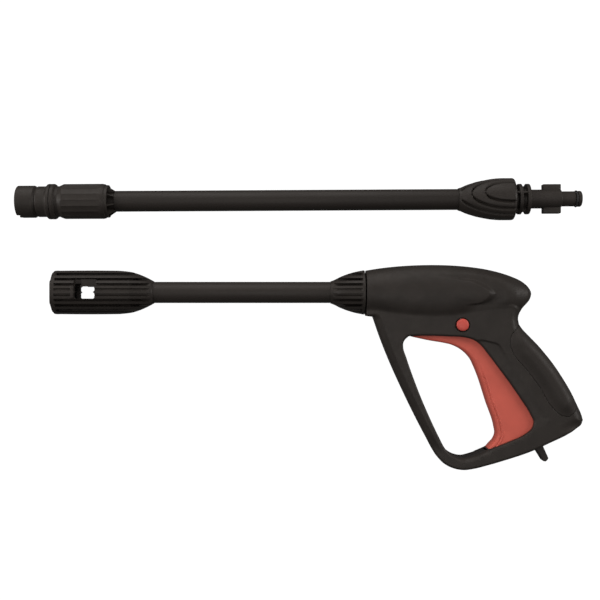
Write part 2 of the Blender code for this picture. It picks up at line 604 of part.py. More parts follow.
def make_nozzle_head():
    """The turning head with its rounded lip, grooves and front half of the bead."""
    outline = [(-250.0, 12.9), (-249.2, 13.9), (-248.0, 14.25), (-234.5, 14.25), (-233.2, 12.7),
               (-232.0, 13.65), (-225.2, 13.65), (-224.3, 15.4), (-223.6, 15.75), (-221.2, 15.75),
               (-221.2, 8.4), (-238.0, 8.4),
               (-238.0, 10.2), (-250.0, 10.2)]
    head = turned("nozzle_head", outline, BODY_BLACK, lance)
    boolean(head, box("lip_notch", (-252.0, -15.0, -1.4), (-248.4, -8.0, 6.4), None, lance))


def make_front_grip():
    """The fixed front grip, hollow at its rear, where thin webs hold it on the tube."""
    outline = [(-220.8, 15.75), (-218.4, 15.75), (-217.4, 15.2), (-216.6, 13.7), (-214.0, 13.7),
               (-210.0, 15.5), (-175.4, 15.6), (-172.9, 15.0), (-172.4, 14.65), (-170.0, 14.4),
               (-170.0, 13.0), (-188.0, 13.0),
               (-188.0, LANCE_TUBE_RADIUS + CLEARANCE), (-197.0, LANCE_TUBE_RADIUS + CLEARANCE),
               (-197.0, 6.5), (-207.0, 6.5), (-207.0, 8.8), (-220.8, 8.8)]
    grip = turned("front_grip", outline, BODY_BLACK, lance)
    web_outline = ((-189.0, 9.7), (-189.0, 13.5), (-170.0, 13.5), (-165.6, 9.9), (-165.6, 9.7))
    for number in range(GRIP_WEBS):
        web = prism(f"grip_web_{number + 1}", web_outline, -0.5, 0.5, None, lance)
        web.matrix_local = Matrix.Rotation(number * 2 * math.pi / GRIP_WEBS, 4, "X")
        boolean(grip, web, "UNION")
    for number in range(GRIP_WEBS):
        flat = box(f"grip_flat_{number + 1}", (-208.0, -4.0, 15.05), (-176.0, 4.0, 20.0), None, lance)
        flat.matrix_local = Matrix.Rotation((number + 0.5) * 2 * math.pi / GRIP_WEBS, 4, "X")
        boolean(grip, flat)


def make_lance_barrel():
    """The lance's outer tube and the water pipe inside it."""
    turned("lance_tube", [(-196.6, LANCE_TUBE_RADIUS), (174.0, LANCE_TUBE_RADIUS), (174.0, LANCE_TUBE_BORE),
                          (-196.6, LANCE_TUBE_BORE)], TUBE_BLACK, lance)
    turned("lance_water_pipe", [(-187.0, PIPE_RADIUS), (184.0, PIPE_RADIUS), (184.0, PIPE_BORE),
                                (-187.0, PIPE_BORE)], STEEL, lance, segments=16)


def make_nozzle():
    """The brass nozzle body behind the head, its seal, and the fan tip."""
    body = [(-231.0, 6.0), (-198.0, 6.0), (-198.0, 6.2), (-186.6, 6.2), (-186.6, PIPE_RADIUS + 0.25),
            (-197.0, PIPE_RADIUS + 0.25), (-197.0, 2.4), (-229.0, 2.4), (-229.0, 3.6), (-231.0, 3.6)]
    turned("nozzle_body", body, BRASS, lance, segments=16)
    seal_ring("nozzle_seal", 7.1, 0.8, -214.0, lance)
    tip = [(-241.0, 3.0), (-240.4, 4.0), (-233.0, 6.4), (-231.3, 6.4), (-231.3, 3.3), (-229.4, 3.3),
           (-229.4, 1.6), (-239.0, 1.6), (-239.0, 1.1), (-241.0, 1.1)]
    turned("nozzle_tip", tip, STEEL, lance, segments=16)


def make_lance_collar():
    """The ogive collar that runs the lance tube out to the plug's flanges."""
    outline = [(140.6, 9.9), (147.0, 12.5), (156.0, 15.6), (165.0, 17.6), (178.0, 18.9), (187.4, 18.9),
               (191.8, 16.0), (191.8, 8.5), (175.0, 8.5), (175.0, LANCE_TUBE_RADIUS + CLEARANCE),
               (140.6, LANCE_TUBE_RADIUS + CLEARANCE)]
    turned("lance_collar", outline, BODY_BLACK, lance)


def make_bayonet_plug():
    """The plug that enters the gun: two slotted flanges, two opposite lugs and an O-ring on its tip."""
    outline = [(176.0, 8.2), (192.8, 8.2), (193.0, 13.6), (197.6, 13.6), (197.6, 12.6), (199.8, 12.6),
               (199.8, 13.6), (204.7, 13.6), (205.6, 8.4), (231.4, 8.4), (231.8, 6.7), (243.9, 6.7),
               (243.9, 5.7), (246.5, 5.7), (246.5, 7.05), (249.0, 7.05), (249.8, 6.3), (249.8, 2.5),
               (185.0, 2.5), (185.0, PIPE_RADIUS + CLEARANCE), (176.0, PIPE_RADIUS + CLEARANCE)]
    plug = turned("bayonet_plug", outline, BODY_BLACK, lance)
    for side, name in ((1.0, "upper_lug"), (-1.0, "lower_lug")):
        edges = sorted((side * 7.0, side * LUG_SPAN / 2))
        lug = box(name, (215.4, edges[0], -LUG_WIDTH / 2), (231.2, edges[1], LUG_WIDTH / 2), None, lance)
        boolean(plug, lug, "UNION")
    for number in range(2):
        slot = box(f"flange_slot_{number + 1}", (197.7, -20.0, 10.6), (199.7, 20.0, 20.0), None, lance)
        slot.matrix_local = Matrix.Rotation(number * math.pi, 4, "X")
        boolean(plug, slot)
    seal_ring("plug_o_ring", 6.75, 0.75, 245.2, lance)


make_body()
make_back_grip_pad()
make_body_screws()
make_lance_socket()
make_socket_insert()
make_barrel()
make_rear_cone()
make_valve()
make_inlet_pipe()
make_hose_inlet()
make_trigger()
make_trigger_spring()
make_safety_button()
make_nozzle_head()
make_front_grip()
make_lance_barrel()
make_nozzle()
make_lance_collar()
make_bayonet_plug()
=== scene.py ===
"""Looks of a pressure washer's trigger gun and its loose spray lance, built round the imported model.

Each section makes one piece or group of like pieces, in millimetres, and places it from the frame in metres.
"""
import json
import math

import bmesh
import bpy
import numpy as np
from mathutils import Matrix, Vector


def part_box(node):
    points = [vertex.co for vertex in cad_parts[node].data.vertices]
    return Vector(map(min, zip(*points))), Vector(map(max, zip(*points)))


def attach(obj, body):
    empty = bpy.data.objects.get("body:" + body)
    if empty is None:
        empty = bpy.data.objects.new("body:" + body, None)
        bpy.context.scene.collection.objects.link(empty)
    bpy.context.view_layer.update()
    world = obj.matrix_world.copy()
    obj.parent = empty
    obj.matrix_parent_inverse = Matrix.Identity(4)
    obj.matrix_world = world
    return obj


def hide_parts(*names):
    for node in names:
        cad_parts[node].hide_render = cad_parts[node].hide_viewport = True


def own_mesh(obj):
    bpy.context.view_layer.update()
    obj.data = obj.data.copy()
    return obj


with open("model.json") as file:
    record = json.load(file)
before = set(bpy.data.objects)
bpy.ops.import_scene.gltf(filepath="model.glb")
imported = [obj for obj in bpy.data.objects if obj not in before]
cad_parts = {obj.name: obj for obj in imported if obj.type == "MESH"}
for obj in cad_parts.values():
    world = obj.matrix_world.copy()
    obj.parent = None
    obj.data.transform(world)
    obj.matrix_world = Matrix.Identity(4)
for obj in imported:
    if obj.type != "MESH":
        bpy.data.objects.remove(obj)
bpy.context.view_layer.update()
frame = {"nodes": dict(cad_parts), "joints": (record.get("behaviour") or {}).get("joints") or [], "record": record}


# ---------------------------------------------------------------- barrel tube
# The gun's long outer tube, an extruded black plastic pipe cut square. It is pressed into the fluted socket
# at the front and runs through the cone into the body, so its place gives the place of the whole gun.

MM = 0.001
TUBE_FRONT = -149.6
TUBE_BACK = 78.0
TUBE_RADIUS = 9.4
TUBE_BORE = 7.2
tube_low, tube_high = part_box("barrel_tube")
tube_axis = (tube_low + tube_high) / 2
gun_place = Matrix.Translation((tube_low.x - TUBE_FRONT * MM, tube_axis.y, tube_axis.z)) @ Matrix.Scale(MM, 4)


def eased(outline, ease=0.4):
    """The outline with each corner off the axis softened by a short arc."""
    soft = []
    for index, corner in enumerate(outline):
        here = Vector(corner)
        to_last = Vector(outline[index - 1]) - here
        to_next = Vector(outline[(index + 1) % len(outline)]) - here
        if here.y < 0.01 or to_last.length < 0.01 or to_next.length < 0.01:
            soft.append(here)
            continue
        start = here + to_last.normalized() * min(ease, 0.4 * to_last.length)
        end = here + to_next.normalized() * min(ease, 0.4 * to_next.length)
        for share in (0.0, 0.35, 0.65, 1.0):
            soft.append(start * (1 - share) ** 2 + here * 2 * share * (1 - share) + end * share ** 2)
    return soft


def turned(outline, steps=96):
    """A turned shape about X from (station, radius) corners, up the outside and back down the bore."""
    bm = bmesh.new()
    corners = [bm.verts.new((station, radius, 0.0)) for station, radius in outline]
    pairs = zip(corners, corners[1:] + corners[:1])
    edges = [bm.edges.new(pair) for pair in pairs if pair[0].co.y > 0.01 or pair[1].co.y > 0.01]
    bmesh.ops.spin(bm, geom=corners + edges, cent=(0, 0, 0), axis=(1, 0, 0), angle=2 * math.pi,
                   steps=steps, use_merge=True)
    bmesh.ops.remove_doubles(bm, verts=bm.verts, dist=0.0005)
    bmesh.ops.recalc_face_normals(bm, faces=bm.faces)
    return bm


def finished(bm, name, place, material, sharp=32.0):
    """Puts a bmesh in millimetres into the scene as a smooth-shaded piece with its place in its mesh."""
    bmesh.ops.transform(bm, matrix=place, verts=bm.verts)
    mesh = bpy.data.meshes.new(name)
    bm.to_mesh(mesh)
    bm.free()
    mesh.shade_smooth()
    mesh.set_sharp_from_angle(angle=math.radians(sharp))
    mesh.materials.append(material)
    piece = bpy.data.objects.new(name, mesh)
    bpy.context.scene.collection.objects.link(piece)
    return piece


def seated(piece, body, slot, *nodes):
    """Rides a piece on its body, in place of its plain nodes; its slot is not used."""
    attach(piece, body)
    if nodes:
        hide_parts(*nodes)
    return piece


def moulded(name, colour, roughness, grain=0.5, mottle=0.12, specular=0.17, drawn=1.0):
    """Moulded or drawn plastic: cloudy tone, uneven gloss, a fine spark texture and a few faint rubs."""
    material = bpy.data.materials.new(name)
    material.use_nodes = True
    nodes, links = material.node_tree.nodes, material.node_tree.links
    shader = nodes["Principled BSDF"]
    shader.inputs["Specular IOR Level"].default_value = specular
    coords = nodes.new("ShaderNodeTexCoord")
    stretch = nodes.new("ShaderNodeMapping")
    stretch.inputs["Scale"].default_value = (1.0 / drawn, 1.0, 1.0)
    links.new(coords.outputs["Object"], stretch.inputs["Vector"])
    cloud = nodes.new("ShaderNodeTexNoise")
    cloud.inputs["Scale"].default_value = 70.0
    cloud.inputs["Detail"].default_value = 4.0
    links.new(stretch.outputs["Vector"], cloud.inputs["Vector"])
    tone = nodes.new("ShaderNodeValToRGB")
    tone.color_ramp.elements[0].position = 0.3
    tone.color_ramp.elements[0].color = (*[c * (1 - mottle) for c in colour], 1)
    tone.color_ramp.elements[1].position = 0.7
    tone.color_ramp.elements[1].color = (*[c * (1 + mottle) for c in colour], 1)
    links.new(cloud.outputs["Fac"], tone.inputs["Fac"])
    links.new(tone.outputs["Color"], shader.inputs["Base Color"])
    rub = nodes.new("ShaderNodeTexNoise")
    rub.inputs["Scale"].default_value = 240.0
    rub.inputs["Detail"].default_value = 3.0
    links.new(stretch.outputs["Vector"], rub.inputs["Vector"])
    gloss = nodes.new("ShaderNodeMapRange")
    gloss.inputs["From Min"].default_value = 0.3
    gloss.inputs["From Max"].default_value = 0.7
    gloss.inputs["To Min"].default_value = roughness - 0.06
    gloss.inputs["To Max"].default_value = roughness + 0.06
    links.new(rub.outputs["Fac"], gloss.inputs["Value"])
    links.new(gloss.outputs["Result"], shader.inputs["Roughness"])
    spark = nodes.new("ShaderNodeTexNoise")
    spark.inputs["Scale"].default_value = 2600.0
    spark.inputs["Detail"].default_value = 2.0
    links.new(stretch.outputs["Vector"], spark.inputs["Vector"])
    bump = nodes.new("ShaderNodeBump")
    bump.inputs["Strength"].default_value = grain
    bump.inputs["Distance"].default_value = 0.00004
    links.new(spark.outputs["Fac"], bump.inputs["Height"])
    links.new(bump.outputs["Normal"], shader.inputs["Normal"])
    return material


tube_black = moulded("drawn_black_tube", (0.0225, 0.0190, 0.0170), 0.50, grain=0.25, drawn=14.0)
barrel = turned(eased([(TUBE_FRONT, TUBE_RADIUS), (TUBE_BACK, TUBE_RADIUS), (TUBE_BACK, TUBE_BORE),
                       (TUBE_FRONT, TUBE_BORE)]), 128)
seated(finished(barrel, "barrel_outer_tube", gun_place, tube_black), "gun", "tube_black", "barrel_tube")


# ---------------------------------------------------------------- fluted lance socket
# The sleeve that takes the lance: one black moulding drawn in two directions, so its fins all lie parallel.
# It has a smooth front rim, a bore with a bayonet mouth, and a window through which the lug is seen to lock.

FIN_PITCH = 4.55
FIN_HALF = 1.1
FIN_SHOULDER = 0.4
WEB_HALF = 2.5
FINS_FROM_MIDDLE = (0.0, 0.5, 1.5, 2.5, 3.5, 4.2)
GROOVE_DEPTHS = (0.8, 1.1, 5.0, 8.0, 14.0, 14.0)
SOCKET_FRONT = -218.6
SOCKET_BACK = -129.5
SOCKET_RADIUS = 19.35
SOCKET_STATIONS = ((SOCKET_FRONT, 18.4), (-218.0, 19.1), (-217.2, 19.3), (-213.0, SOCKET_RADIUS),
                   (-164.0, SOCKET_RADIUS),
                   (-161.0, 19.3), (-158.0, 19.1), (-154.0, 18.7), (-149.2, 18.0), (-144.7, 16.7),
                   (-140.0, 14.95), (-135.6, 12.95), (-131.0, 10.5), (SOCKET_BACK, 9.7))
cell = 0.8


def flowing(points, step=1.5, closed=True, corner=40.0):
    """Points about every step along a smooth curve through the given ones; a sharp turn stays a corner."""
    places = [Vector(point) for point in points]
    count = len(places)
    runs = count if closed else count - 1
    flow = []

    def heading(index, near, far):
        """The curve's direction at a point, for the run between near and far."""
        last, here, after = places[(index - 1) % count], places[index], places[(index + 1) % count]
        straight = (far - near).normalized()
        if not closed and index in (0, count - 1):
            return straight
        arrive, leave = here - last, after - here
        if arrive.angle(leave) > math.radians(corner):
            return straight
        return (arrive.normalized() * leave.length + leave.normalized() * arrive.length).normalized()

    for index in range(runs):
        follow = (index + 1) % count
        near, far = places[index], places[follow]
        length = (far - near).length
        start, end = heading(index, near, far) * length, heading(follow, near, far) * length
        parts = max(1, round(length / step))
        for part in range(parts):
            t = part / parts
            flow.append(near * (2 * t ** 3 - 3 * t ** 2 + 1) + start * (t ** 3 - 2 * t ** 2 + t)
                        + far * (3 * t ** 2 - 2 * t ** 3) + end * (t ** 3 - t ** 2))
    if not closed:
        flow.append(places[-1])
    return [(place.x, place.y) for place in flow]


def ringed(bm, loop, distances, outside):
    """Narrow rings of faces beside a loop, outside or inside it; gives back the last ring's edges."""
    ring = np.array(loop, float)
    ahead = np.roll(ring, -1, axis=0)
    turn = np.sign(np.sum(ring[:, 0] * ahead[:, 1] - ring[:, 1] * ahead[:, 0])) * (1 if outside else -1)
    last = None
    for near, far in zip((0.0, 0.0, *distances), (0.0, *distances)):
        along = np.roll(ring, -1, axis=0) - np.roll(ring, 1, axis=0)
        along /= np.linalg.norm(along, axis=1, keepdims=True)
        ring = ring + np.stack((along[:, 1], -along[:, 0]), axis=1) * turn * (far - near)
        if last:
            middle = (np.roll(ring, -1, axis=0) + np.roll(ring, 1, axis=0)) / 2
            ring = ring + along * np.sum((middle - ring) * along, axis=1, keepdims=True) / 2
        corners = [bm.verts.new((x, y, 0.0)) for x, y in ring]
        edges = [bm.edges.new(pair) for pair in zip(corners, corners[1:] + corners[:1])]
        if last:
            bmesh.ops.bridge_loops(bm, edges=last + edges)
        last = edges
    return last


def sheet_of(loops, rings, lines_x, lines_y, hole_rings=(0.06, 0.35)):
    """A flat sheet inside the first loop and outside the others, with ringed edges and cut on the lines."""
    bm = bmesh.new()
    edges = ringed(bm, loops[0], rings, outside=False)
    for number, loop in enumerate(loops[1:]):
        edges = edges + ringed(bm, loop, rings if number == 0 else hole_rings, outside=True)
    filled = bmesh.ops.triangle_fill(bm, use_beauty=True, use_dissolve=False, edges=edges)
    bmesh.ops.recalc_face_normals(bm, faces=bm.faces)
    inner = [item for item in filled["geom"] if isinstance(item, bmesh.types.BMFace)]
    for axis, lines in ((0, lines_x), (1, lines_y)):
        ahead, done = inner, []
        normal = (1.0, 0.0, 0.0) if axis == 0 else (0.0, 1.0, 0.0)
        for line in sorted(lines):
            if not ahead:
                break
            around = {edge for face in ahead for edge in face.edges}
            ends = {vert for face in ahead for vert in face.verts}
            cut = bmesh.ops.bisect_plane(bm, geom=[*ahead, *around, *ends], dist=0.0005,
                                         plane_co=[line * part for part in normal], plane_no=normal)
            faces = [item for item in cut["geom"] if isinstance(item, bmesh.types.BMFace)]
            ahead = [face for face in faces if face.calc_center_median()[axis] > line]
            done += [face for face in faces if face.calc_center_median()[axis] <= line]
        inner = done + ahead
    return bm


def spread(low, high, step):
    """Even lines from low to high."""
    return list(np.arange(low, high, step))


def near_line(x, y, line, closed=False):
    """Distance from each point to a run of straight pieces."""
    points = np.array(line, float)
    ends = np.roll(points, -1, axis=0) if closed else points[1:]
    nearest = np.full(len(x), 1e9)
    for (ax, ay), (bx, by) in zip(points, ends):
        dx, dy = bx - ax, by - ay
        share = np.clip(((x - ax) * dx + (y - ay) * dy) / max(dx * dx + dy * dy, 1e-12), 0, 1)
        nearest = np.minimum(nearest, np.hypot(x - ax - share * dx, y - ay - share * dy))
    return nearest


def step_up(value, low, high):
    """Smooth rise from 0 at low to 1 at high."""
    share = np.clip((value - low) / (high - low), 0, 1)
    return share * share * (3 - 2 * share)


def raised(bm, height):
    """Lifts each point of a sheet to height(x, y)."""
    places = np.array([vert.co[:2] for vert in bm.verts])
    for vert, level in zip(bm.verts, height(places[:, 0], places[:, 1])):
        vert.co.z = level
    return bm


def closed_pair(bm):
    """A raised half and its mirror image below the mid-plane, joined where they meet."""
    bmesh.ops.mirror(bm, geom=[*bm.verts, *bm.edges, *bm.faces], axis="Z", merge_dist=0.002)
    bmesh.ops.recalc_face_normals(bm, faces=bm.faces)
    return bm


def carved(block, tool, operation="DIFFERENCE"):
    """The block cut by, or joined with, the tool."""
    pair = []
    for bm in (block, tool):
        mesh = bpy.data.meshes.new("carving")
        bm.to_mesh(mesh)
        bm.free()
        pair.append(bpy.data.objects.new("carving", mesh))
        bpy.context.scene.collection.objects.link(pair[-1])
    step = pair[0].modifiers.new("carve", "BOOLEAN")
    step.operation = operation
    step.solver = "EXACT"
    step.object = pair[1]
    bpy.context.view_layer.update()
    graph = bpy.context.evaluated_depsgraph_get()
    result = bmesh.new()
    result.from_mesh(pair[0].evaluated_get(graph).to_mesh())
    for obj in pair:
        bpy.data.meshes.remove(obj.data)
    return result


def prism(outline, low, high):
    """A flat outline in XY made solid between two heights."""
    bm = bmesh.new()
    face = bm.faces.new([bm.verts.new((x, y, low)) for x, y in outline])
    lifted = bmesh.ops.extrude_face_region(bm, geom=[face])
    top = [item for item in lifted["geom"] if isinstance(item, bmesh.types.BMVert)]
    bmesh.ops.translate(bm, vec=(0.0, 0.0, high - low), verts=top)
    bmesh.ops.recalc_face_normals(bm, faces=bm.faces)
    return bm


def block_between(low, high, ease=0.0):
    """A box between two corners, with softened edges."""
    bm = bmesh.new()
    size = [b - a for a, b in zip(low, high)]
    middle = [(a + b) / 2 for a, b in zip(low, high)]
    bmesh.ops.create_cube(bm, size=1.0, matrix=Matrix.Translation(middle) @ Matrix.Diagonal((*size, 1.0)))
    if ease:
        bmesh.ops.bevel(bm, geom=bm.edges[:], offset=ease, segments=3, profile=0.5, affect="EDGES",
                        material=-1)
    return bm


def fluted(stations, first, last, core):
    """Outline, grid lines and height of a round moulding with parallel fins between two stations."""
    xs, radii = np.array(stations).T
    core_xs, core_radii = np.array(core).T

    def radius(x):
        """The outer radius at a station."""
        return np.interp(x, xs, radii)

    def height(x, y):
        """Fins on the round, grooves deeper towards the sides, and a web along the mid-plane."""
        reach = np.sqrt(np.maximum(radius(x) ** 2 - y * y, 0.0))
        from_fin = np.abs(y / FIN_PITCH - np.round(y / FIN_PITCH)) * FIN_PITCH
        groove = step_up(from_fin, FIN_HALF, FIN_HALF + FIN_SHOULDER)
        depth = np.interp(np.abs(y) / FIN_PITCH, FINS_FROM_MIDDLE, GROOVE_DEPTHS)
        depth = depth * np.clip((radius(x) - 10.3) / 3.0, 0, 1)
        ends = step_up(x, first, first + 0.5) * (1 - step_up(x, last - 2.0, last))
        solid = np.sqrt(np.maximum(np.interp(x, core_xs, core_radii) ** 2 - y * y, WEB_HALF ** 2))
        floor = np.maximum(reach - depth, np.minimum(solid, reach))
        return reach + (floor - reach) * groove * ends

    top = flowing(stations, 1.2, closed=False, corner=60.0)
    silhouette = top + [(x, -y) for x, y in reversed(top)]
    lines_y = []
    for fin in range(-4, 5):
        for offset in (-1.9, -1.5, -1.3, -1.1, -0.7, 0.0, 0.7, 1.1, 1.3, 1.5, 1.9, FIN_PITCH / 2):
            lines_y.append(fin * FIN_PITCH + offset)
    return silhouette, lines_y, height


SLOT = (-197.2, -191.6, 5.0, 11.2)
SHELF = (-196.4, -178.4, 6.0, 11.7)
BAR = (-200.0, -197.3, -5.3, 5.8)
silhouette, fin_lines, fin_height = fluted(SOCKET_STATIONS, -214.6, -131.0, ((-150.4, 15.3), (-145.0, 11.0)))


def inside(x, y, box, soft=0.25):
    """How far inside a flat box each point is, from 0 outside to 1 past its soft edge."""
    x0, x1, y0, y1 = box
    return (step_up(x, x0 - soft, x0 + soft) * (1 - step_up(x, x1 - soft, x1 + soft))
            * step_up(y, y0 - soft, y0 + soft) * (1 - step_up(y, y1 - soft, y1 + soft)))


def socket_height(x, y):
    """The fins, with the lock's bar, slot and shelf beside the window."""
    level = fin_height(x, y)
    border = near_line(x, y, silhouette, closed=True)
    round_level = np.sqrt(np.maximum(SOCKET_RADIUS ** 2 - y * y, 0.0))
    level = level + (round_level + 0.35 - level) * inside(x, y, BAR)
    level = level + (13.4 - level) * inside(x, y, SHELF)
    level = level + (12.2 - level) * inside(x, y, SLOT)
    return np.where(border < 0.01, 0.0, level)


def box_lines(boxes, axis):
    """Grid lines at both sides of each box's edges."""
    lines = []
    for box in boxes:
        for edge in box[2 * axis:2 * axis + 2]:
            lines += [edge - 0.25, edge, edge + 0.25]
    return lines


lock_boxes = (SLOT, SHELF, BAR)
socket_x = (spread(-213.0, SOCKET_BACK, 1.6 * cell) + [-214.8, -214.5, -214.2, -213.9]
            + box_lines(lock_boxes, 0))
socket_sheet = sheet_of([silhouette], (0.05, 0.25, 0.6, 1.1), socket_x, fin_lines + box_lines(lock_boxes, 1))
socket = closed_pair(raised(socket_sheet, socket_height))
bore = turned(eased([(-219.5, 0.0), (-219.5, 9.8), (SOCKET_FRONT, 9.0), (-208.0, 9.0), (-208.0, 14.4),
                     (-150.0, 14.4), (-150.0, 9.5), (-128.5, 9.5), (-128.5, 0.0)], 0.5), 72)
socket = carved(socket, bore)
socket = carved(socket, block_between((-225.0, -13.4, -4.0), (-205.0, 13.4, 4.0), 0.6))
for front, low, high in ((-197.2, 0.0, 40.0), (-199.0, -40.0, 0.0)):
    upper = [(front + 0.9, 5.1), (front, 4.2), (front, 1.2), (front + 1.2, 0.2), (front, -0.8), (front, -4.6),
             (front + 0.9, -5.5)]
    back = [(-179.9, -5.5), (-179.0, -4.6), (-179.0, -0.8), (-180.2, 0.2), (-179.0, 1.2), (-179.0, 4.2),
            (-179.9, 5.1)]
    socket = carved(socket, prism(upper + back, low, high))
body_black = moulded("satin_black_moulding", (0.0215, 0.0182, 0.0162), 0.50)
seated(finished(socket, "fluted_lance_socket", gun_place, body_black), "gun", "body_black", "lance_socket")


# ---------------------------------------------------------------- fluted rear cone
# A black cone with the same parallel fins, slid over the tube to lead it out to the width of the body.
# A plain rim closes it against the body's front face.

CONE_STATIONS = ((26.7, 9.7), (30.0, 10.9), (35.6, 13.7), (40.0, 15.5), (44.5, 17.0), (48.0, 18.0),
                 (51.6, 18.8), (55.0, 19.4), (57.0, 19.6), (57.5, 19.2))
silhouette_cone, cone_lines, cone_fins = fluted(CONE_STATIONS, 29.0, 55.4, ((26.0, 10.5), (58.0, 10.5)))


def cone_height(x, y):
    """The fins, closed down to the mid-plane at the border."""
    return np.where(near_line(x, y, silhouette_cone, closed=True) < 0.01, 0.0, cone_fins(x, y))


cone_x = spread(29.9, 55.0, 1.4 * cell) + [28.8, 29.1, 29.4, 53.6, 54.2, 54.8, 55.3]
cone = closed_pair(raised(sheet_of([silhouette_cone], (0.05, 0.25, 0.6), cone_x, cone_lines), cone_height))
cone = carved(cone, turned([(20.0, 0.0), (20.0, 9.6), (60.0, 9.6), (60.0, 0.0)], 72))
seated(finished(cone, "fluted_rear_cone", gun_place, body_black), "gun", "body_black", "rear_cone")


# ---------------------------------------------------------------- body shells
# Two black half mouldings: a rounded body over the valve, flowing into a flat loop frame and the grip.
# They meet at the mid-plane, and seven screws from the right hold them together.

WALL = 1.3
FRAME_HALF = 14.0
MATING_GAP = 0.15
SLOT_LEVEL = 9.7
SEAM_LEVEL = 11.0
FRONT_FACE = 58.3
BODY_SECTIONS = ((58.3, -20.9, 19.2), (68.0, -21.6, 19.3), (83.0, -24.8, 19.3), (100.0, -27.3, 19.3),
                 (117.0, -28.2, 19.3), (134.0, -27.3, 19.3), (150.0, -23.8, 19.3), (165.0, -21.0, 18.8),
                 (180.0, -20.2, 17.5), (189.0, -19.6, 15.4), (195.5, -17.2, 12.8), (200.5, -11.6, 9.6),
                 (203.6, -7.0, 6.2), (205.1, -3.0, 2.6))
STRUT_EDGE = ((64.8, -21.7), (70.8, -39.1), (79.8, -61.8), (90.6, -85.7), (101.4, -108.1), (112.2, -128.9),
              (119.5, -142.2))
FOOT_EDGE = ((123.4, -147.8), (130.4, -152.7), (137.5, -155.2), (144.5, -155.9), (151.5, -155.0),
             (165.6, -151.5), (179.6, -147.4), (203.8, -139.2), (219.6, -131.9), (232.3, -125.9),
             (242.9, -119.7), (248.4, -116.4), (250.7, -112.7), (249.6, -108.4))
PAD_SEAM = ((246.1, -100.4), (243.6, -101.4), (240.8, -104.6), (235.7, -109.2), (227.9, -107.3),
            (220.1, -100.0), (209.8, -83.3), (198.4, -68.0), (187.8, -55.5), (184.0, -46.0), (184.6, -39.0),
            (188.6, -33.0), (194.3, -28.2))
BODY_BACK = ((193.5, -22.3), (194.9, -17.9), (197.8, -13.4), (201.2, -9.8), (203.8, -6.2), (205.1, -2.2),
             (205.1, 0.4), (203.6, 3.4), (200.5, 7.0), (195.5, 10.6), (189.0, 13.6), (180.0, 16.8),
             (165.0, 20.5), (150.0, 22.7), (134.0, 24.0), (117.0, 24.4), (100.0, 24.0), (83.0, 22.8),
             (68.0, 21.0), (FRONT_FACE, 19.4))
FINGER_LOOP_STRUT = ((155.5, -142.8), (148.3, -145.0), (144.7, -145.8), (141.1, -145.7), (137.5, -144.9),
                     (133.9, -143.1), (130.3, -140.5), (126.8, -136.3), (122.1, -127.5), (113.8, -110.0),
                     (106.2, -92.4), (99.4, -74.8), (93.3, -57.3), (90.6, -48.5), (90.7, -44.1),
                     (91.8, -41.9), (95.3, -38.6))
TRIGGER_SLOT = ((100.7, -38.3), (131.3, -38.7), (145.3, -39.7), (152.3, -41.8), (157.5, -45.3),
                (165.4, -54.5), (173.3, -65.0), (183.8, -79.0), (193.4, -93.0), (202.2, -107.0),
                (205.1, -114.0), (203.9, -118.8), (197.4, -124.7), (182.9, -131.5), (164.5, -138.8))
CRESCENT_OUTSIDE = ((100.0, 14.4), (125.4, 14.0), (139.4, 12.0), (155.0, 10.0), (163.8, 5.4), (169.0, 1.1),
                    (170.7, -1.1), (169.0, -5.0), (162.9, -8.9), (150.7, -11.1), (135.0, -12.6),
                    (100.0, -13.4))
CRESCENT_INSIDE = ((100.0, 13.6), (125.4, 13.0), (139.4, 11.0), (152.0, 8.6), (160.3, 3.6), (164.2, 0.9),
                   (165.5, -0.8), (163.9, -4.2), (158.5, -8.6), (148.0, -10.4), (135.0, -11.8),
                   (100.0, -12.6))
RECESS_LINE = ((154.0, -41.6), (160.0, -41.2), (166.3, -42.6), (173.7, -44.8), (180.3, -52.3),
               (200.4, -81.0), (216.0, -104.0), (219.6, -110.0), (216.5, -115.0), (204.8, -121.5),
               (197.0, -126.0))
SAFETY_X, SAFETY_Y = 142.4, -28.5
BUTTON_HOLE = 5.9
SCREW_PLACES = ((72.0, 14.2), (80.0, -24.5), (186.0, 3.0), (97.0, -86.0), (141.0, -150.6), (190.0, -141.2),
                (240.3, -112.7))
COUNTERBORE = 3.1
COUNTERBORE_LEVEL = 8.0

outer_edge = flowing([(FRONT_FACE, -20.9), *STRUT_EDGE, *FOOT_EDGE, *PAD_SEAM, *BODY_BACK])
loop_edge = flowing([*FINGER_LOOP_STRUT, *TRIGGER_SLOT])
slot_line = flowing(TRIGGER_SLOT, closed=False)
seam_line = flowing(PAD_SEAM, closed=False)
free_line = flowing([PAD_SEAM[-1], *BODY_BACK, (FRONT_FACE, -20.9), *STRUT_EDGE, *FOOT_EDGE, PAD_SEAM[0]],
                    closed=False)
crescent_outside = flowing(CRESCENT_OUTSIDE)
crescent_inside = flowing(CRESCENT_INSIDE)
recess_line = flowing(RECESS_LINE, closed=False)
strut_line = flowing(STRUT_EDGE, closed=False)
bar_line = flowing(FINGER_LOOP_STRUT[:5], closed=False) + [(164.5, -138.8)]
back_line = flowing(BODY_BACK, closed=False)
top_line = np.array([point for point in back_line if point[1] > 0.3])[::-1]
body_x, body_bottom, body_depth = np.array(BODY_SECTIONS).T


def ring_of(x, y, radius, count=40):
    """A round hole's edge."""
    turns = [2 * math.pi * step / count for step in range(count)]
    return [(x + radius * math.cos(turn), y + radius * math.sin(turn)) for turn in turns]


def within(x, y, loop):
    """Whether each point lies inside a closed loop."""
    odd = np.zeros(len(x), bool)
    for (ax, ay), (bx, by) in zip(loop, loop[1:] + loop[:1]):
        crosses = (ay > y) != (by > y)
        odd ^= crosses & (x < (bx - ax) * (y - ay) / (by - ay + 1e-12) + ax)
    return odd


